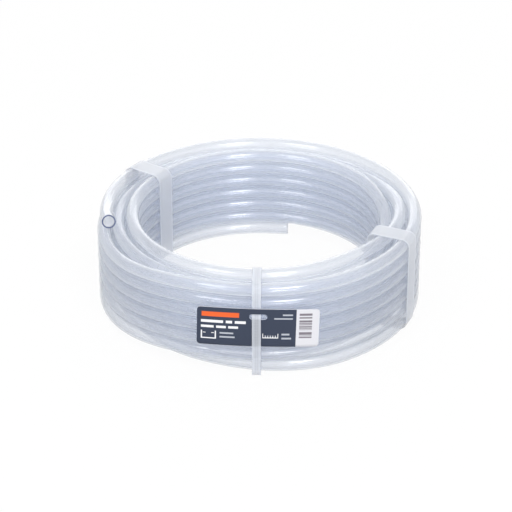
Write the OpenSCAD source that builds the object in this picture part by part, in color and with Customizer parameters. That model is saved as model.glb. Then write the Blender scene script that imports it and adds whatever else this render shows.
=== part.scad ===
// Water level hose: a clear hose wound in three layers, held by three
// welded strap ties, with a card label threaded on the front tie.
// The coil's axis is Z, its front is -Y, and it stands on its ties at z = 0.

/* [Hose] */
// Bore of the hose
hose_bore = 6.5; // [5:0.1:8]
// Wall thickness of the hose
hose_wall = 0.65; // [0.5:0.05:1.2]
// Gap left between neighbouring turns and layers
turn_gap = 0.5; // [0.45:0.05:1.5]
// Length of the straight stub at each cut end
stub_len = 9; // [8:0.5:14]

/* [Coil] */
// Radius of the outer layer, to the middle of the hose
outer_r = 91.1; // [80:0.1:120]
// Rows in the outer layer and in the inner layer
rows = 7; // [4:1:7]
// Swept rings in each turn
rings_per_turn = 18; // [18:6:24]
// Height by which the outer end lifts off its row
end_lift = 4; // [2:0.5:6]
// Distance by which the outer end drifts in from its row
end_drift = 2; // [0:0.5:3]

/* [Ties] */
// Width of the left and right ties
wide_tie_w = 12; // [8:0.5:15]
// Width of the front tie
front_tie_w = 5; // [3:0.5:7]
// Thickness of the strap
tie_t = 0.45; // [0.3:0.05:0.8]
// Clearance between a strap and what it wraps
tie_gap = 0.3; // [0.3:0.05:0.8]
// Length of the welded lap of a strap
lap_len = 18; // [10:1:24]

/* [Label] */
// Width of the card along its bow
label_w = 68; // [50:1:90]
// Height of the card
label_h = 24; // [20:1:32]
// Thickness of the card
label_t = 0.4; // [0.3:0.05:0.8]
// Corner radius of the card
label_corner = 2; // [1:0.5:4]
// Height of the card's lower edge above the middle of the coil
label_drop = -8.1; // [-12:0.1:-4]
// Turn of the card in its own plane, clockwise as seen from the front
label_tilt = 1.5; // [0:0.5:2]
// Radius to which the springy card bows round the coil
label_bow = 320; // [200:10:600]
// Width of the slot that the front tie runs through
slot_w = 10; // [9:0.5:14]
// Height of the slot
slot_h = 3.4; // [3.2:0.2:4]
// Distance of the slot's middle below the card's top edge
slot_depth = 5; // [4:0.5:7]

/* [Hidden] */
$fn = 48;

hose_od = hose_bore + 2 * hose_wall;
pitch = hose_od + turn_gap;
inner_r = outer_r - 2 * pitch;
low_z = tie_t + tie_gap + hose_od / 2;
high_z = low_z + (rows - 1) * pitch;
mid_z = (low_z + high_z) / 2;

// Direction of each tie, counted from +X towards +Y
left_angle = 144;
right_angle = -23.5;
front_angle = -91;
// Direction of the middle of the card, which hangs to one side of its tie
label_angle = -90.5;

// The hose is followed by one growing angle, from its inner end to its outer end.
// Each pair below is the stretch of a turn in which the hose changes row or layer.
first_angle = 83;
last_angle = 189;
inner_climb = [330, 400];
cross_to_middle = [305, 365];
settle_in_middle = [365, 405];
middle_drop = [265, 345];
settle_under_outer = [200, 245];
cross_to_outer = [240, 300];
outer_climb = [192, 255];
lift_span = 19;

// Turns made before each change begins
climbs = rows - 1;
drops = rows - 2;
middle_turn = climbs + 1;
outer_turn = middle_turn + drops + 1;
cross_turn = outer_turn - 1;
start_a = first_angle;
end_a = last_angle + 360 * (outer_turn + climbs);

function unit(v) = v / norm(v);
function sum(list) = list * [for (item = list) 1];
function ease(u) = let (c = max(0, min(1, u))) c * c * (3 - 2 * c);
function passed(a, span, turn) = ease((a - span[0] - 360 * turn) / (span[1] - span[0]));
function repeated(a, span, turn, count) = sum([for (k = [0:count - 1]) passed(a, span, turn + k)]);

// Row and layer of the hose at an angle, as numbers that change smoothly
function row_at(a) =
    repeated(a, inner_climb, 0, climbs)
    - passed(a, settle_in_middle, climbs) / 2
    - repeated(a, middle_drop, middle_turn, drops)
    - passed(a, settle_under_outer, cross_turn) / 2
    + repeated(a, outer_climb, outer_turn, climbs);
function layer_at(a) = passed(a, cross_to_middle, climbs) + passed(a, cross_to_outer, cross_turn);

// The outer end rises on a parabola, so that its last slope is 2 * end_lift over the span
function lift_at(a) = end_lift * pow(max(0, (a - end_a + lift_span) / lift_span), 2);
function drift_at(a) = end_drift * ease((a - end_a + 2 * lift_span) / (2 * lift_span));
function radius_at(a) = inner_r + pitch * layer_at(a) - drift_at(a);
function point_at(a) =
    [radius_at(a) * cos(a), radius_at(a) * sin(a), low_z + pitch * row_at(a) + lift_at(a)];
function heading_at(a) = unit(point_at(min(a + 0.5, end_a)) - point_at(max(a - 0.5, start_a)));

// Rings stand at the same angles in every turn, so that neighbouring turns run side by side,
// with one of them at the very back of the coil
ring_step = 360 / rings_per_turn;
back_angle = 90;
first_ring = floor((start_a - back_angle) / ring_step) + 1;
end_ring = ceil((end_a - back_angle) / ring_step) - 1;
ring_angles = concat(
    [start_a],
    [for (i = [first_ring:end_ring]) back_angle + i * ring_step],
    [end_a]);
// The inner end follows the chord to its first ring, so that its stub keeps off the next layer
start_dir = unit(point_at(ring_angles[1]) - point_at(start_a));
end_dir = heading_at(end_a);
stub_lap = 2;
centres = concat(
    [point_at(start_a) - stub_lap * start_dir],
    [for (a = ring_angles) point_at(a)],
    [point_at(end_a) + stub_lap * end_dir]);
headings = concat([start_dir], [for (a = ring_angles) heading_at(a)], [end_dir]);
last_ring = len(centres) - 1;

// The swept skin lies just inside the stubs' outside, and the swept bore just inside theirs
sides = 6;
skin_r = hose_od / 2 - 0.05;
duct_r = hose_bore / 2 - 0.1;
function ring(i, r) =
    let (out = unit([centres[i].x, centres[i].y, 0]))
    let (up = unit(cross(out, headings[i])))
    let (side = cross(headings[i], up))
    [for (k = [0:sides - 1]) centres[i] + r * (cos(k * 360 / sides) * side + sin(k * 360 / sides) * up)];

// Least gap between two turns, and the length, both measured on finely spaced points
check_step = 4;
check_points = [for (a = [start_a:check_step:end_a]) point_at(a)];
turn_points = 360 / check_step;
near_points = turn_points / 6;
function nearest(i) =
    min([for (j = [i + turn_points - near_points:len(check_points) - 1])
        let (off = (j - i) % turn_points)
        if (off < near_points || off > turn_points - near_points) norm(check_points[j] - check_points[i])]);
least_gap = min([for (i = [0:len(check_points) - turn_points]) nearest(i)]) - hose_od;
hose_len = sum([for (i = [1:len(check_points) - 1]) norm(check_points[i] - check_points[i - 1])])
    + 2 * stub_len;
echo(turns = (end_a - start_a) / 360, hose_length = hose_len, least_gap = least_gap);

// A swept tube with its bore, as triangles
module swept_tube() {
    points = concat(
        [for (i = [0:last_ring]) each ring(i, skin_r)],
        [for (i = [0:last_ring]) each ring(i, duct_r)]);
    duct = (last_ring + 1) * sides;
    skin_faces = [for (i = [0:last_ring - 1], k = [0:sides - 1])
        let (a = i * sides + k, b = i * sides + (k + 1) % sides)
        each [[a, b, a + sides], [b, b + sides, a + sides]]];
    duct_faces = [for (f = skin_faces) [f[0] + duct, f[2] + duct, f[1] + duct]];
    first_rim = [for (k = [0:sides - 1])
        let (a = k, b = (k + 1) % sides)
        each [[a, a + duct, b], [b, a + duct, b + duct]]];
    last_rim = [for (k = [0:sides - 1])
        let (a = last_ring * sides + k, b = last_ring * sides + (k + 1) % sides)
        each [[a, b, a + duct], [b, b + duct, a + duct]]];
    polyhedron(points, concat(skin_faces, duct_faces, first_rim, last_rim));
}

// A straight cut end with its true bore, from a point along a direction
module stub(at, dir) {
    translate(at)
        rotate([0, acos(dir.z), atan2(dir.y, dir.x)])
            difference() {
                cylinder(d = hose_od, h = stub_len);
                translate([0, 0, -1]) cylinder(d = hose_bore, h = stub_len + 2);
            }
}

module hose() {
    color([0.86, 0.9, 0.97, 0.6]) {
        swept_tube();
        stub(point_at(start_a), -start_dir);
        stub(point_at(end_a), end_dir);
    }
}

// Outline of the wound bundle with a tie's clearance, in the plane through the axis.
// The inner side leaves room for the curve of the coil across the tie's width.
module bundle_outline(width) {
    inner_face = (inner_r - hose_od / 2) * cos(ring_step / 2);
    inner_x = sqrt(pow(inner_face, 2) - pow(width / 2, 2)) + hose_od / 2;
    hull()
        for (x = [inner_x, outer_r], z = [low_z, high_z])
            translate([x, z]) circle(r = hose_od / 2 + tie_gap, $fn = 32);
}

// Closed strap round an outline, cut to a width and turned to its place on the coil
module strap(width, angle) {
    rotate([90, 0, angle])
        linear_extrude(width, center = true)
            difference() {
                offset(r = tie_t) children();
                children();
            }
}

// Welded lap: the strap's end lying on the strap, on the outer or the inner wall
module lap(width, angle, x) {
    rotate([90, 0, angle])
        linear_extrude(width, center = true)
            translate([x, mid_z]) square([tie_t, lap_len], center = true);
}

outer_wall = outer_r + hose_od / 2 + tie_gap;
function inner_wall(width) =
    sqrt(pow((inner_r - hose_od / 2) * cos(ring_step / 2), 2) - pow(width / 2, 2)) - tie_gap;

module left_tie() {
    color([0.95, 0.97, 1, 0.7]) {
        strap(wide_tie_w, left_angle) bundle_outline(wide_tie_w);
        lap(wide_tie_w, left_angle, outer_wall + 1.4 * tie_t);
    }
}

module right_tie() {
    color([0.95, 0.97, 1, 0.7]) {
        strap(wide_tie_w, right_angle) bundle_outline(wide_tie_w);
        lap(wide_tie_w, right_angle, inner_wall(wide_tie_w) - 1.4 * tie_t);
    }
}

// The card stands off the coil by the strap that runs behind its upper part
label_r = outer_wall + tie_t + tie_gap;
label_low = mid_z + label_drop;
slot_z = label_low + label_h - slot_depth;
front_x = label_r + label_t + tie_gap;

// The front strap runs behind the card's upper part, out through the slot and down over the card
module front_outline() {
    bundle_outline(front_tie_w);
    polygon([
        [outer_r, slot_z + slot_h / 2 - tie_gap],
        [outer_wall, slot_z + slot_h / 2 - tie_gap],
        [front_x, slot_z - slot_h / 2 + tie_gap + tie_t],
        [front_x, label_low - 2],
        [outer_wall, label_low - 8],
        [outer_r, label_low - 8]]);
}

module front_tie() {
    color([0.95, 0.97, 1, 0.7]) {
        strap(front_tie_w, front_angle) front_outline();
        lap(front_tie_w, front_angle, inner_wall(front_tie_w) - 1.4 * tie_t);
    }
}

// Face of the card as seen from the front, with its round corners and its slot
module card_face() {
    half_w = label_bow * sin(label_w / 2 / label_bow * 180 / PI) - label_corner;
    half_h = label_h / 2 - label_corner;
    slot_up = label_h / 2 - slot_depth;
    slot_half = (slot_w - slot_h) / 2;
    difference() {
        hull()
            for (x = [-half_w, half_w], y = [-half_h, half_h])
                translate([x, y]) circle(r = label_corner, $fn = 32);
        translate([0, slot_up]) square([2 * slot_half, slot_h], center = true);
        for (x = [-slot_half, slot_half])
            translate([x, slot_up]) circle(d = slot_h);
    }
}

// The card is part of a wide tube wall, whose nearest line to the coil carries the slot
module label() {
    color([0.25, 0.28, 0.33])
        translate([0, 0, label_low + label_h / 2])
            rotate([0, label_tilt, label_angle + 90])
                intersection() {
                    translate([0, label_bow - label_r, 0])
                        difference() {
                            cylinder(r = label_bow + label_t, h = 2 * label_h, center = true, $fn = 96);
                            cylinder(r = label_bow, h = 2 * label_h + 2, center = true, $fn = 96);
                        }
                    rotate([90, 0, 0]) linear_extrude(2 * label_r) card_face();
                }
}

hose();
left_tie();
right_tie();
front_tie();
label();
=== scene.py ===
import bmesh
import bpy
import numpy as np
from mathutils import Matrix, Vector


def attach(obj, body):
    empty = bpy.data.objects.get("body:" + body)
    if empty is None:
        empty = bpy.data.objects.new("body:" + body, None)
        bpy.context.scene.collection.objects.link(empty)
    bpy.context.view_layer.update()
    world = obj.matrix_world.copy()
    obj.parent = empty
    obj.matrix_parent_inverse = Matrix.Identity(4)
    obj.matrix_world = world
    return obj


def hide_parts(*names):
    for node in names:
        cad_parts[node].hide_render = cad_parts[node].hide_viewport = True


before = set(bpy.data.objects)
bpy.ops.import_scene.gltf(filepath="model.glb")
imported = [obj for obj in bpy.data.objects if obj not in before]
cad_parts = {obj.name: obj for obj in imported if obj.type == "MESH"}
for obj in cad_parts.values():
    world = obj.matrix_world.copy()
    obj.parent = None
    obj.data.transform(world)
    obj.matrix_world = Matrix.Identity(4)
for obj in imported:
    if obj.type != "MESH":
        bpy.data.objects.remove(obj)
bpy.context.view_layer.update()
scene = bpy.context.scene

# The hose
# One 10 m length of clear soft PVC hose, extruded round a mandrel and cut square at both ends.
# It is wound from its inner end at the back, up the inner layer, down the middle one and up the
# outer one, and its outer end lifts off the top row at the left.
MM = 0.001
HOSE_BORE = 6.5
HOSE_OD = 8.16
ROW_PITCH = 8.3
ROWS = 7
OUTER_R = 91.1
INNER_R = OUTER_R - 2 * ROW_PITCH
LOW_Z = 4.65
HIGH_Z = LOW_Z + (ROWS - 1) * ROW_PITCH
MID_Z = (LOW_Z + HIGH_Z) / 2
STUB_LEN = 9.0
END_LIFT = 4.0
END_DRIFT = 2.0
LIFT_SPAN = 19.0
CLIMBS = ROWS - 1
DROPS = ROWS - 2
OUTER_TURN = CLIMBS + DROPS + 2
CROSS_TURN = OUTER_TURN - 1
START_ANGLE = 83.0
END_ANGLE = 189.0 + 360 * (OUTER_TURN + CLIMBS)
# Degrees between which the hose steps a row in each layer, or crosses to the next with a half row
INNER_CLIMB = (330, 400)
TOP_CROSSING = (305, 365)
TOP_HALF_ROW = (365, 405)
MIDDLE_DROP = (265, 345)
FOOT_CROSSING = (240, 300)
FOOT_HALF_ROW = (200, 245)
OUTER_CLIMB = (192, 255)


def ease(u):
    """Smooth step from 0 to 1: three squares less two cubes of the clipped parameter."""
    c = np.clip(u, 0.0, 1.0)
    return c * c * (3 - 2 * c)


def passed(angle, span, turn, count=1):
    """How many smooth steps lie behind an angle: one over a span of degrees in each of some turns."""
    low, high = span
    return sum(ease((angle - low - 360 * (turn + k)) / (high - low)) for k in range(count))


def coil_points(angle):
    """Middle of the hose: a circle whose radius steps a layer, and height a row, in smooth stretches."""
    row = passed(angle, INNER_CLIMB, 0, CLIMBS) - passed(angle, TOP_HALF_ROW, CLIMBS) / 2
    row = row - passed(angle, MIDDLE_DROP, CLIMBS + 1, DROPS) - passed(angle, FOOT_HALF_ROW, CROSS_TURN) / 2
    row = row + passed(angle, OUTER_CLIMB, OUTER_TURN, CLIMBS)
    layer = passed(angle, TOP_CROSSING, CLIMBS) + passed(angle, FOOT_CROSSING, CROSS_TURN)
    to_end = angle - END_ANGLE
    drift = END_DRIFT * ease((to_end + 2 * LIFT_SPAN) / (2 * LIFT_SPAN))
    lift = END_LIFT * np.maximum(0, (to_end + LIFT_SPAN) / LIFT_SPAN) ** 2
    r = INNER_R + ROW_PITCH * layer - drift
    turn = np.radians(angle)
    return np.stack([r * np.cos(turn), r * np.sin(turn), LOW_Z + ROW_PITCH * row + lift], axis=1)


def unit(v):
    """Each row of an array at length one."""
    return v / np.linalg.norm(v, axis=-1, keepdims=True)


def grid_mesh(name, points, closed_along, closed_round, place=None, capped=False):
    """Quads on a grid of points (along, round, 3) in mm, with a flat cap at each end if capped.

    place is where each point lies on the piece laid straight, and the materials read it.
    """
    along, around = points.shape[:2]
    i = np.arange(along if closed_along else along - 1)
    j = np.arange(around if closed_round else around - 1)
    i, j = [g.ravel() for g in np.meshgrid(i, j, indexing="ij")]
    i2, j2 = (i + 1) % along, (j + 1) % around
    quads = np.stack([i * around + j, i2 * around + j, i2 * around + j2, i * around + j2], axis=1)
    faces = quads.tolist()
    smooth = [True] * len(faces)
    if capped:
        ring = list(range(around))
        faces += [ring, [(along - 1) * around + k for k in reversed(ring)]]
        smooth += [False, False]
    mesh = bpy.data.meshes.new(name)
    mesh.from_pydata((points.reshape(-1, 3) * MM).tolist(), [], faces)
    mesh.polygons.foreach_set("use_smooth", smooth)
    if place is not None:
        spots = mesh.attributes.new("place", "FLOAT_VECTOR", "POINT")
        spots.data.foreach_set("vector", (place * MM).astype(np.float32).ravel())
    mesh.update()
    obj = bpy.data.objects.new(name, mesh)
    scene.collection.objects.link(obj)
    return obj


def hose_rings(centres, headings, radius, sides):
    """Circles of a radius at each point square to the path, from the side away from the coil's axis."""
    out = unit(centres * np.array([1.0, 1.0, 0.0]))
    up = unit(np.cross(out, headings))
    side = np.cross(headings, up)
    q = np.linspace(0, 2 * np.pi, sides, endpoint=False)[None, :, None]
    spokes = np.cos(q) * side[:, None] + np.sin(q) * up[:, None]
    return centres[:, None] + radius[:, None, None] * spokes


# The path is the coil with a straight stub at each end; the skin runs out along it and the bore back
RING_STEP = 4.0
HOSE_SIDES = 20
STUB_RINGS = 3
HEADING_SPAN = 7
angles = np.linspace(START_ANGLE, END_ANGLE, int((END_ANGLE - START_ANGLE) / RING_STEP))
coil = coil_points(angles)
coil_dir = unit(np.gradient(coil, axis=0))
coil_dir[0] = unit(coil_points(np.array([START_ANGLE + HEADING_SPAN]))[0] - coil[0])
stub_at = np.linspace(1 / STUB_RINGS, 1, STUB_RINGS)[:, None] * STUB_LEN
inner_stub = coil[0] - stub_at[::-1] * coil_dir[0]
outer_stub = coil[-1] + stub_at * coil_dir[-1]
path = np.concatenate([inner_stub, coil, outer_stub])
path_dir = unit(np.gradient(path, axis=0))
# Each cut end has one more ring close behind it, for a fine bevel inside and out
CUT_EDGE = 0.05
out_path = np.concatenate([path[:1], path[:1] + CUT_EDGE * path_dir[:1], path[1:-1],
                           path[-1:] - CUT_EDGE * path_dir[-1:], path[-1:]])
out_dir = np.concatenate([path_dir[:1], path_dir, path_dir[-1:]])
rings = len(out_path)
skin_r = np.full(rings, HOSE_OD / 2)
bore_r = np.full(rings, HOSE_BORE / 2)
skin_r[[0, -1]] -= CUT_EDGE
bore_r[[0, -1]] += CUT_EDGE
skin = hose_rings(out_path, out_dir, skin_r, HOSE_SIDES)
bore = hose_rings(out_path[::-1], out_dir[::-1], bore_r[::-1], HOSE_SIDES)
hose_run = np.concatenate([[0], np.cumsum(np.linalg.norm(np.diff(out_path, axis=0), axis=1))])
hose_run = np.concatenate([hose_run, hose_run[::-1]])[:, None]
hose_turn = np.linspace(0, 2 * np.pi, HOSE_SIDES, endpoint=False)
from_middle = np.concatenate([skin_r, bore_r[::-1]])[:, None]
on_hose = np.broadcast_arrays(hose_run, from_middle * np.cos(hose_turn), from_middle * np.sin(hose_turn))
hose = grid_mesh("clear_hose", np.concatenate([skin, bore]), True, True, np.stack(on_hose, axis=2))


def linear(hex_colour):
    """An sRGB hex colour as linear red, green and blue by the sRGB curve, and an alpha of 1."""
    srgb = np.array([int(hex_colour[k:k + 2], 16) for k in (1, 3, 5)]) / 255
    rgb = np.where(srgb <= 0.04045, srgb / 12.92, ((srgb + 0.055) / 1.055) ** 2.4)
    return (*rgb.tolist(), 1.0)


def add_node(material, kind, settings=(), **links):
    """A node with its settings, and its inputs set to values or linked to other nodes' outputs.

    An input goes by its name, or by n and its number where two inputs share a name.
    """
    node = material.node_tree.nodes.new(kind)
    for key, value in dict(settings).items():
        setattr(node, key, value)
    for key, value in links.items():
        numbered = key[0] == "n" and key[1:].isdigit()
        socket = node.inputs[int(key[1:]) if numbered else key.replace("_", " ")]
        if isinstance(value, bpy.types.NodeSocket):
            material.node_tree.links.new(value, socket)
        else:
            socket.default_value = value
    return node


def new_material(name):
    """An empty node material and its output node."""
    material = bpy.data.materials.new(name)
    material.use_nodes = True
    material.node_tree.nodes.clear()
    return material, material.node_tree.nodes.new("ShaderNodeOutputMaterial")


# The die leaves draw lines along the hose, drawn here 2.5 mm wide, coarser than real ones, to show
LINE_LEN = 500 * MM
LINE_W = 2.5 * MM
LINE_DEPTH = 0.1 * MM


def clear_pvc(name, haze_ahead, haze_at_edge, sharpness):
    """Clear plasticised PVC: bluish looked through, glossy, with long faint draw lines.

    The milky share grows from ahead to the edge with a power of the slant, and the gloss with its fifth.
    """
    pvc, out = new_material(name)
    place = add_node(pvc, "ShaderNodeAttribute", {"attribute_name": "place"})
    stretch = add_node(pvc, "ShaderNodeMapping", Vector=place.outputs["Vector"],
                       Scale=(1 / LINE_LEN, 1 / LINE_W, 1 / LINE_W))
    draw = add_node(pvc, "ShaderNodeTexNoise", Vector=stretch.outputs[0], Scale=1.0, Detail=1.0)
    bump = add_node(pvc, "ShaderNodeBump", Strength=0.06, Distance=LINE_DEPTH, Height=draw.outputs[0])
    haze = add_node(pvc, "ShaderNodeBsdfPrincipled", Base_Color=linear("#FCFDFE"), Roughness=0.4, IOR=1.5,
                    Normal=bump.outputs[0])
    lit_through = add_node(pvc, "ShaderNodeBsdfTranslucent", Color=linear("#FCFDFE"))
    milky = add_node(pvc, "ShaderNodeMixShader", n0=0.6, n1=haze.outputs[0], n2=lit_through.outputs[0])
    clear = add_node(pvc, "ShaderNodeBsdfTransparent", Color=linear("#FCFDFF"))
    slant = add_node(pvc, "ShaderNodeLayerWeight", Blend=0.5)
    edge = add_node(pvc, "ShaderNodeMath", {"operation": "POWER"}, n0=slant.outputs["Facing"], n1=sharpness)
    cover = add_node(pvc, "ShaderNodeMapRange", Value=edge.outputs[0], To_Min=haze_ahead, To_Max=haze_at_edge)
    body = add_node(pvc, "ShaderNodeMixShader", n0=cover.outputs[0], n1=clear.outputs[0], n2=milky.outputs[0])
    steep = add_node(pvc, "ShaderNodeMath", {"operation": "POWER"}, n0=slant.outputs["Facing"], n1=5.0)
    mirrored = add_node(pvc, "ShaderNodeMapRange", Value=steep.outputs[0], To_Min=0.06, To_Max=0.5)
    polish = add_node(pvc, "ShaderNodeMapRange", Value=draw.outputs[0], To_Min=0.12, To_Max=0.22)
    shine = add_node(pvc, "ShaderNodeBsdfAnisotropic", Roughness=polish.outputs[0], Normal=bump.outputs[0])
    wall = add_node(pvc, "ShaderNodeMixShader", n0=mirrored.outputs[0], n1=body.outputs[0],
                    n2=shine.outputs[0])
    pvc.node_tree.links.new(wall.outputs[0], out.inputs[0])
    return pvc


# The skin is clear and barely hazy; the bore's edges gather the light that runs along the wall, and
# show as a pale line on each side
hose.data.materials.append(clear_pvc("clear_pvc_extruded", 0.1, 0.28, 1.0))
hose.data.materials.append(clear_pvc("clear_pvc_bore", 0.06, 0.95, 1.6))
# The cut faces look along the wall, so they show as dark blue rings: that dark blue is painted shade, as the
# cut PVC is as clear as the rest, and they carry fine knife marks
KNIFE_MARK = 0.4 * MM
cut, cut_out = new_material("clear_pvc_cut_face")
cut_at = add_node(cut, "ShaderNodeTexCoord")
marks = add_node(cut, "ShaderNodeTexNoise", Vector=cut_at.outputs["Object"], Scale=1 / KNIFE_MARK, Detail=2.0)
dull = add_node(cut, "ShaderNodeMapRange", Value=marks.outputs[0], To_Min=0.3, To_Max=0.5)
cut_shader = add_node(cut, "ShaderNodeBsdfPrincipled", Base_Color=linear("#4F5B80"),
                      Roughness=dull.outputs[0])
cut.node_tree.links.new(cut_shader.outputs[0], cut_out.inputs[0])
hose.data.materials.append(cut)
finish_of = np.zeros((2 * rings, HOSE_SIDES), np.int32)
finish_of[rings:] = 1
finish_of[[rings - 1, -1]] = 2
hose.data.polygons.foreach_set("material_index", finish_of.ravel())
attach(hose, "hose")
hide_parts("hose")

# The strap ties
# Three bands of milky polypropylene strap, rolled with a raised waffle and smooth edges, drawn round
# the bundle and heat-welded where they lap. The narrow front one runs through the label's slot.
TIE_T = 0.45
TIE_GAP = 0.3
INNER_GAP = 0.1
WIDE_TIE_W = 12.0
FRONT_TIE_W = 5.0
OUTER_WALL = 95.3
CORNER_R = OUTER_WALL - OUTER_R + TIE_T / 2
SLOT_BEND_R = 0.8
ARC_POINTS = 25
LAP_LEN = 18.0
LAP_RAMP = 6.0
LAP_RISE = 1.05 * TIE_T
WAFFLE_PITCH = 2.0
WAFFLE_H = 0.2
SMOOTH_EDGE = 0.9
EDGE_RAMP = 0.3
EDGE_HALF_T = TIE_T * 0.3
STRAP_STEP = 0.33
SIDE_WEIGHT = 10


def rounded_loop(corners, radii, step):
    """A closed outline of straight runs, with an arc of each corner's radius, at even steps along it."""
    corners, radii = np.asarray(corners, float), np.asarray(radii, float)
    back = unit(np.roll(corners, 1, axis=0) - corners)
    on = unit(np.roll(corners, -1, axis=0) - corners)
    half = np.arccos(np.clip((back * on).sum(1), -1, 1)) / 2
    reach = (radii / np.tan(half))[:, None]
    blend = np.linspace(0, 1, ARC_POINTS)[None, :, None]
    centre = corners + unit(back + on) * (radii / np.sin(half))[:, None]
    spoke_a = corners + back * reach - centre
    spoke_b = corners + on * reach - centre
    spokes = unit(spoke_a[:, None] * (1 - blend) + spoke_b[:, None] * blend)
    outline = (centre[:, None] + spokes * radii[:, None, None]).reshape(-1, 2)
    closed = np.concatenate([outline, outline[:1]])
    run = np.concatenate([[0], np.cumsum(np.linalg.norm(np.diff(closed, axis=0), axis=1))])
    at = np.linspace(0, run[-1], int(run[-1] / step), endpoint=False)
    return np.stack([np.interp(at, run, closed[:, k]) for k in (0, 1)], axis=1), run[-1]


def strap_tie(name, node, width, angle, outer_run, lap_on_outside):
    """A ribbon along an outline in the plane through the axis, lapped over its own start.

    Its face sinks between diamonds, which are the product of two slanting cosines, inside smooth edges.
    """
    top, low = HIGH_Z + CORNER_R, LOW_Z - CORNER_R
    inner_x = np.sqrt((INNER_R - HOSE_OD / 2) ** 2 - width ** 2 / 4) - INNER_GAP - TIE_T / 2
    outer_x = OUTER_WALL + TIE_T / 2
    corners = [(inner_x, top), (inner_x, low), (outer_x, low), *outer_run, (outer_x, top)]
    radii = [CORNER_R] * 3 + [SLOT_BEND_R] * len(outer_run) + [CORNER_R]
    loop, length = rounded_loop(corners, radii, STRAP_STEP)
    start_x = outer_x if lap_on_outside else inner_x
    from_start = np.abs(loop[:, 0] - start_x) * SIDE_WEIGHT + np.abs(loop[:, 1] - MID_Z - LAP_LEN / 2)
    count = len(loop) + int(LAP_LEN / STRAP_STEP)
    order = (np.argmin(from_start) + np.arange(count)) % len(loop)
    ahead = loop[(order + 1) % len(loop)] - loop[order - 1]
    normal = unit(np.stack([ahead[:, 1], -ahead[:, 0]], axis=1))
    run = np.arange(count) * STRAP_STEP
    over_start = LAP_RISE * ease((run - length + LAP_RAMP) / LAP_RAMP)
    middle = loop[order] + normal * over_start[:, None]
    across = np.linspace(-width / 2, width / 2, int(width / STRAP_STEP))
    rolled = ease((width / 2 - np.abs(across) - SMOOTH_EDGE) / EDGE_RAMP)
    phase = 2 * np.pi / WAFFLE_PITCH
    diamonds = np.cos(phase * (run[:, None] + across)) * np.cos(phase * (run[:, None] - across))
    face = TIE_T / 2 + WAFFLE_H * rolled * (diamonds * 0.5 - 0.5)
    back = np.full_like(face, -TIE_T / 2)
    face[:, [0, -1]] = EDGE_HALF_T
    back[:, [0, -1]] = -EDGE_HALF_T
    offset = np.concatenate([face, back[:, ::-1]], axis=1)
    side = np.concatenate([across, across[::-1]])
    radial = middle[:, None, 0] + normal[:, None, 0] * offset
    height = middle[:, None, 1] + normal[:, None, 1] * offset
    turn = np.radians(angle)
    points = np.stack([radial * np.cos(turn) - side * np.sin(turn),
                       radial * np.sin(turn) + side * np.cos(turn), height], axis=2)
    face_depth = np.concatenate([face, face[:, ::-1]], axis=1)
    on_strap = np.stack(np.broadcast_arrays(run[:, None], side[None], face_depth), axis=2)
    tie = grid_mesh(name, points[:, ::-1], False, True, on_strap[:, ::-1], True)
    tie.data.materials.append(strap_pp)
    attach(tie, node)
    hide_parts(node)


# Polypropylene strap: milky and translucent, so that what lies behind it shows as a soft tone. It is
# whiter where the waffle leaves it thick and clearer in the hollows, with a fine pull grain.
GRAIN_LEN = 4 * MM
GRAIN_W = 0.3 * MM
GRAIN_DEPTH = 0.05 * MM
strap_pp, strap_out = new_material("polypropylene_strap_embossed")
strap_at = add_node(strap_pp, "ShaderNodeAttribute", {"attribute_name": "place"})
pulled = add_node(strap_pp, "ShaderNodeMapping", Vector=strap_at.outputs["Vector"],
                  Scale=(1 / GRAIN_LEN, 1 / GRAIN_W, 1 / GRAIN_W))
grain = add_node(strap_pp, "ShaderNodeTexNoise", Vector=pulled.outputs[0], Scale=1.0, Detail=2.0)
grain_bump = add_node(strap_pp, "ShaderNodeBump", Strength=0.2, Distance=GRAIN_DEPTH, Height=grain.outputs[0])
strap_sheen = add_node(strap_pp, "ShaderNodeMapRange", Value=grain.outputs[0], To_Min=0.22, To_Max=0.4)
strap_shader = add_node(strap_pp, "ShaderNodeBsdfPrincipled", Base_Color=linear("#EAF0FB"), IOR=1.49,
                        Roughness=strap_sheen.outputs[0], Normal=grain_bump.outputs[0])
strap_glow = add_node(strap_pp, "ShaderNodeBsdfTranslucent", Color=linear("#F7F9FC"))
strap_milk = add_node(strap_pp, "ShaderNodeMixShader", n0=0.2, n1=strap_shader.outputs[0],
                      n2=strap_glow.outputs[0])
strap_clear = add_node(strap_pp, "ShaderNodeBsdfTransparent", Color=linear("#FFFCF7"))
strap_spot = add_node(strap_pp, "ShaderNodeSeparateXYZ", Vector=strap_at.outputs["Vector"])
thickness = add_node(strap_pp, "ShaderNodeMapRange", Value=strap_spot.outputs["Z"],
                     From_Min=(TIE_T / 2 - WAFFLE_H) * MM, From_Max=TIE_T / 2 * MM, To_Min=0.35, To_Max=0.57)
strap_mix = add_node(strap_pp, "ShaderNodeMixShader", n0=thickness.outputs[0], n1=strap_clear.outputs[0],
                     n2=strap_milk.outputs[0])
strap_pp.node_tree.links.new(strap_mix.outputs[0], strap_out.inputs[0])

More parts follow.
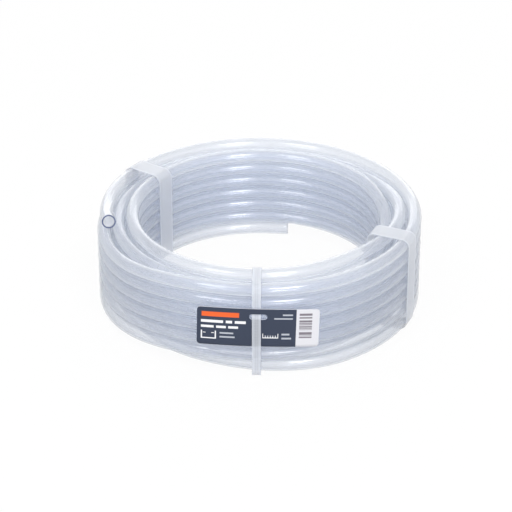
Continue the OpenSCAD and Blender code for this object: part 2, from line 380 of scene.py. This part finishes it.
# The front tie leaves the wall below the card, runs up over its lower half and goes in by its slot
LABEL_W = 68.0
LABEL_H = 24.0
LABEL_T = 0.4
LABEL_LOW = MID_Z - 8.1
LABEL_R = OUTER_WALL + TIE_T + TIE_GAP
SLOT_W = 10.0
SLOT_H = 3.4
SLOT_UP = LABEL_H / 2 - 5
LEAVES_WALL = LABEL_LOW - 8
CLEARS_CARD = LABEL_LOW - 2
SLOT_Z = LABEL_LOW + LABEL_H / 2 + SLOT_UP
DIPS_IN = SLOT_Z - 0.9
BACK_AT_WALL = SLOT_Z + 1.46
on_wall = OUTER_WALL + TIE_T / 2
over_card = LABEL_R + LABEL_T + TIE_GAP + TIE_T / 2
through_slot = [(on_wall, LEAVES_WALL), (over_card, CLEARS_CARD), (over_card, DIPS_IN),
                (on_wall, BACK_AT_WALL)]
strap_tie("left_strap_tie", "left_tie", WIDE_TIE_W, 144.0, [], True)
strap_tie("right_strap_tie", "right_tie", WIDE_TIE_W, -23.5, [], False)
strap_tie("front_strap_tie", "front_tie", FRONT_TIE_W, -91.0, through_slot, False)

# The label
# A springy coated card with round corners, bowed a little, with a round-ended slot for the front tie.
# It is printed dark but for a white panel at its right end; the print is plain bars and a pictogram.
LABEL_BOW = 320.0
LABEL_CORNER = 2.0
LABEL_TILT = np.radians(1.5)
LABEL_TURN = np.radians(-0.5)
PANEL_AT = 21.2
COLUMNS = 69
CORNER_POINTS = 9
SHEET_ROWS = 13
SAME_PLACE = 1e-6


def on_card(along, rise, off):
    """Points on the card from distances along it and up it from its middle, and off its front face.

    The card is part of a wide tube's wall, tilted in its own plane and turned about the coil's axis.
    """
    x = LABEL_BOW * np.sin(along / LABEL_BOW)
    out = LABEL_R + LABEL_T + off
    y = -out + LABEL_BOW * (1 - np.cos(along / LABEL_BOW))
    tilted_x = x * np.cos(LABEL_TILT) + rise * np.sin(LABEL_TILT)
    z = LABEL_LOW + LABEL_H / 2 + rise * np.cos(LABEL_TILT) - x * np.sin(LABEL_TILT)
    return np.stack([tilted_x * np.cos(LABEL_TURN) - y * np.sin(LABEL_TURN),
                     tilted_x * np.sin(LABEL_TURN) + y * np.cos(LABEL_TURN), z], axis=-1)


def corner_drop(distance, radius):
    """How far a rounded corner falls back at a distance inside the straight edge beside it."""
    inside = np.clip(radius - distance, 0, radius)
    return radius - np.sqrt(radius ** 2 - inside ** 2)


# Two sheets, below and above the slot's middle line, share their edge points outside the slot
bend = np.sin(np.linspace(-np.pi / 2, np.pi / 2, ARC_POINTS))
round_end = LABEL_CORNER * (1 - np.cos(np.linspace(0, np.pi / 2, CORNER_POINTS)))
columns = np.unique(np.concatenate([
    np.linspace(-LABEL_W / 2, LABEL_W / 2, COLUMNS), bend * SLOT_W / 2, [PANEL_AT],
    -LABEL_W / 2 + round_end, LABEL_W / 2 - round_end]).round(4))
card_edge = LABEL_H / 2 - corner_drop(LABEL_W / 2 - np.abs(columns), LABEL_CORNER)
slot_end = np.clip(SLOT_W / 2 - np.abs(columns), 0, None)
slot_half = np.where(slot_end > 0, SLOT_H / 2 - corner_drop(slot_end, SLOT_H / 2), 0)
row_share = np.linspace(0, 1, SHEET_ROWS)
below = -card_edge[:, None] + (SLOT_UP - slot_half + card_edge)[:, None] * row_share
above = (SLOT_UP + slot_half)[:, None] + (card_edge - SLOT_UP - slot_half)[:, None] * row_share
sheets = [on_card(columns[:, None], rises, 0.0).reshape(-1, 3) for rises in (below, above)]
steps = np.meshgrid(np.arange(len(columns) - 1), np.arange(SHEET_ROWS - 1), indexing="ij")
column, row = [g.ravel() for g in steps]
first = column * SHEET_ROWS + row
quads = np.stack([first, first + SHEET_ROWS, first + SHEET_ROWS + 1, first + 1], axis=1)
quads = np.concatenate([quads, quads + len(columns) * SHEET_ROWS])
card_mesh = bpy.data.meshes.new("label_card")
card_mesh.from_pydata((np.concatenate(sheets) * MM).tolist(), [], quads.tolist())
on_panel = np.tile((columns[column] >= PANEL_AT).astype(np.int32), 2)
card_mesh.polygons.foreach_set("material_index", on_panel)
card_mesh.polygons.foreach_set("use_smooth", np.ones(len(quads), bool))
seam = bmesh.new()
seam.from_mesh(card_mesh)
bmesh.ops.remove_doubles(seam, verts=seam.verts, dist=SAME_PLACE)
seam.to_mesh(card_mesh)
seam.free()
card = bpy.data.objects.new("label_card", card_mesh)
scene.collection.objects.link(card)
thick = card.modifiers.new("card_thickness", "SOLIDIFY")
thick.thickness = LABEL_T * MM
thick.offset = -1.0
thick.material_offset = 1
thick.material_offset_rim = 1

# Half a millimetre is the length of the board's fibres, which show through the ink
FIBRE_LEN = 0.5 * MM
FIBRE_RISE = 0.03 * MM


def satin_print(name, colour):
    """Ink or coating on card: an even colour under a satin varnish, made uneven by the board's fibres."""
    material, out = new_material(name)
    at = add_node(material, "ShaderNodeTexCoord")
    fibres = add_node(material, "ShaderNodeTexNoise", Vector=at.outputs["Object"],
                      Scale=1 / FIBRE_LEN, Detail=3.0)
    varnish = add_node(material, "ShaderNodeMapRange", Value=fibres.outputs[0], To_Min=0.4, To_Max=0.56)
    rise = add_node(material, "ShaderNodeBump", Strength=0.1, Distance=FIBRE_RISE, Height=fibres.outputs[0])
    ink = add_node(material, "ShaderNodeBsdfPrincipled", Base_Color=linear(colour),
                   Roughness=varnish.outputs[0], Specular_IOR_Level=0.2, Normal=rise.outputs[0])
    material.node_tree.links.new(ink.outputs[0], out.inputs[0])
    return material


# The card is inked dark in front; the panel, the edges and the back are the white coating
card_mesh.materials.append(satin_print("card_print_slate", "#3C4456"))
card_mesh.materials.append(satin_print("card_coated_white", "#E1E1E7"))
card_mesh.materials.append(card_mesh.materials[1])
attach(card, "label")
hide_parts("label")

PRINT_OFF = 0.02
INK_T = 0.015
BAR_STEPS = 8


def print_bars(name, colour, bars):
    """Flat patches of ink on the card's front, each from its ends along the card and its heights up it."""
    strips = []
    for left, right_end, low, high in bars:
        at = np.linspace(left, right_end, BAR_STEPS + 1)
        strips.append(on_card(at[:, None], np.array([[low, high]]), PRINT_OFF))
    points = np.concatenate(strips).reshape(-1, 3)
    start = (np.arange(len(bars))[:, None] * 2 * (BAR_STEPS + 1) + np.arange(BAR_STEPS) * 2).ravel()
    faces = np.stack([start, start + 2, start + 3, start + 1], axis=1)
    mesh = bpy.data.meshes.new(name)
    mesh.from_pydata((points * MM).tolist(), [], faces.tolist())
    obj = bpy.data.objects.new(name, mesh)
    scene.collection.objects.link(obj)
    film = obj.modifiers.new("ink_film", "SOLIDIFY")
    film.thickness = INK_T * MM
    film.offset = -1.0
    mesh.materials.append(satin_print(name, colour))
    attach(obj, "label")


print_bars("print_orange_stripe", "#F26A35", [(-31.4, -10.6, 6.1, 9.1)])
heading = [(-31.7, -19.4, 2.2, 3.9), (-17.9, -14.4, 2.2, 3.9), (-12.9, -6.8, 2.2, 3.9),
           (-31.7, -24.6, -1.1, 0.4), (-23.2, -17.8, -1.1, 0.4), (-16.5, -11.0, -1.1, 0.4)]
# Two sight tubes joined by a hose, with the same level in both
TUBE_LOW = -8.2
water_level = [(-31.7, -31.0, TUBE_LOW, -3.0), (-23.9, -23.2, TUBE_LOW, -3.0),
               (-30.96, -23.94, TUBE_LOW, TUBE_LOW + 0.7),
               (-30.6, -29.0, -4.6, -4.2), (-25.9, -24.3, -4.6, -4.2)]
# A length rule with a tall tick at each end and smaller ticks between
TICK_PITCH = 1.4
rule = [(2.6, 11.4, -6.6, -6.0)]
rule += [(2.6 + TICK_PITCH * k, 3.0 + TICK_PITCH * k, -5.96, -3.6 if k in (0, 6) else -4.8) for k in range(7)]
print_bars("print_white_marks", "#F4F5F7", heading + water_level + rule)
notes = [(-21.2, -13.6, -4.7, -3.7), (-21.2, -12.8, -7.2, -6.2), (13.2, 17.6, -4.6, -3.5),
         (13.2, 18.6, -7.2, -6.1), (13.6, 19.2, 7.9, 8.9), (8.9, 19.2, 5.6, 6.5)]
print_bars("print_grey_notes", "#B9BEC8", notes)
PANEL_BARS = [(9.4, 8.0), (7.1, 6.2), (5.0, 3.7), (3.3, 2.7), (2.4, 1.9), (1.3, 0.4), (0.0, -0.5),
              (-0.9, -1.2), (-2.6, -4.3), (-4.8, -5.2), (-5.6, -6.4)]
print_bars("print_panel_bars", "#857F88", [(22.9, 30.0, low, high) for high, low in PANEL_BARS])

# The studio
# A sweep of white paper and a white surround, lit by a broad low lamp behind and two soft ones in front.
# Paper and surround are white to the camera and in gloss, and the paper keeps a faint shadow.
scene.view_settings.view_transform = "Standard"
scene.cycles.max_bounces = 32
scene.cycles.transmission_bounces = 24
scene.cycles.transparent_max_bounces = 64
scene.cycles.glossy_bounces = 12
scene.cycles.diffuse_bounces = 16
FLOOR_SIZE = 3.0
FLOOR_DROP = 0.0002
SHADOW_SHARE = 0.06
FILL_LEVEL = 0.74
floor_at = np.linspace(-FLOOR_SIZE / 2, FLOOR_SIZE / 2, 2) / MM
floor_points = np.stack([*np.meshgrid(floor_at, floor_at, indexing="xy"), np.zeros((2, 2))], axis=2)
floor = grid_mesh("floor", floor_points[::-1], False, False)
floor.location.z = -FLOOR_DROP


def seen_by_lens(owner):
    """1 for a ray from the camera, straight, by gloss or through a clear wall, and 0 for the rest."""
    light = add_node(owner, "ShaderNodeLightPath")
    seen = add_node(owner, "ShaderNodeMath", {"operation": "ADD"}, n0=light.outputs["Is Camera Ray"],
                    n1=light.outputs["Is Glossy Ray"])
    seen = add_node(owner, "ShaderNodeMath", {"operation": "ADD", "use_clamp": True}, n0=seen.outputs[0],
                    n1=light.outputs["Is Transmission Ray"])
    return seen.outputs[0]


# Matte paper, white where the lens sees it but for the share that takes the shadow
paper, paper_out = new_material("white_paper_sweep")
white_share = add_node(paper, "ShaderNodeMath", {"operation": "MULTIPLY"}, n0=seen_by_lens(paper),
                       n1=1 - SHADOW_SHARE)
matte = add_node(paper, "ShaderNodeBsdfDiffuse", Color=linear("#F4F4F4"))
glow = add_node(paper, "ShaderNodeEmission", Color=(1.0, 1.0, 1.0, 1.0), Strength=1.0)
mixed = add_node(paper, "ShaderNodeMixShader", n0=white_share.outputs[0], n1=matte.outputs[0],
                 n2=glow.outputs[0])
paper.node_tree.links.new(mixed.outputs[0], paper_out.inputs[0])
floor.data.materials.append(paper)

world = bpy.data.worlds.new("studio_surround")
scene.world = world
world.use_nodes = True
world.node_tree.nodes.clear()
world_out = world.node_tree.nodes.new("ShaderNodeOutputWorld")
level = add_node(world, "ShaderNodeMapRange", Value=seen_by_lens(world), To_Min=FILL_LEVEL, To_Max=1.0)
sky = add_node(world, "ShaderNodeBackground", Color=(1.0, 1.0, 1.0, 1.0), Strength=level.outputs[0])
world.node_tree.links.new(sky.outputs[0], world_out.inputs[0])


def soft_lamp(name, azimuth, elevation, distance, size, power):
    """A square area lamp that faces the coil, at degrees round from the front and up from the floor."""
    way = np.radians([azimuth, elevation])
    lamp = bpy.data.lights.new(name, "AREA")
    lamp.size = size
    lamp.energy = power
    obj = bpy.data.objects.new(name, lamp)
    toward = Vector((np.sin(way[0]) * np.cos(way[1]), -np.cos(way[0]) * np.cos(way[1]), np.sin(way[1])))
    obj.location = toward * distance
    obj.rotation_euler = toward.to_track_quat("Z", "Y").to_euler()
    scene.collection.objects.link(obj)


soft_lamp("back_lamp", 180, 7, 1.6, 1.4, 13.0)
soft_lamp("left_lamp", -40, 50, 1.5, 0.55, 3.8)
soft_lamp("right_lamp", 22, 50, 1.5, 0.42, 6.2)

# The camera
# A long lens that looks down on the coil's front at the photographed angle. The frame is 512 pixels
# square, and the coil's middle stands a little right of and above the frame's centre.
FRAME_PX = 512
FOCAL_PX = 2236.5
CENTRE_PX = (259.2, 249.6)
ELEVATION = np.radians(29.2)
DISTANCE = 1.3255
SENSOR_W = 36.0
right = Vector((1, 0, 0))
toward = Vector((0, -np.cos(ELEVATION), np.sin(ELEVATION)))
up = Vector((0, np.sin(ELEVATION), np.cos(ELEVATION)))
per_px = DISTANCE / FOCAL_PX
aim = Vector((0, 0, MID_Z * MM))
aim -= right * (CENTRE_PX[0] - FRAME_PX / 2) * per_px
aim -= up * (FRAME_PX / 2 - CENTRE_PX[1]) * per_px
lens = bpy.data.cameras.new("camera")
lens.sensor_width = SENSOR_W
lens.lens = SENSOR_W * FOCAL_PX / FRAME_PX
camera = bpy.data.objects.new("camera", lens)
turn = Matrix((right, up, toward)).transposed()
camera.matrix_world = Matrix.Translation(aim + toward * DISTANCE) @ turn.to_4x4()
scene.collection.objects.link(camera)
scene.camera = camera
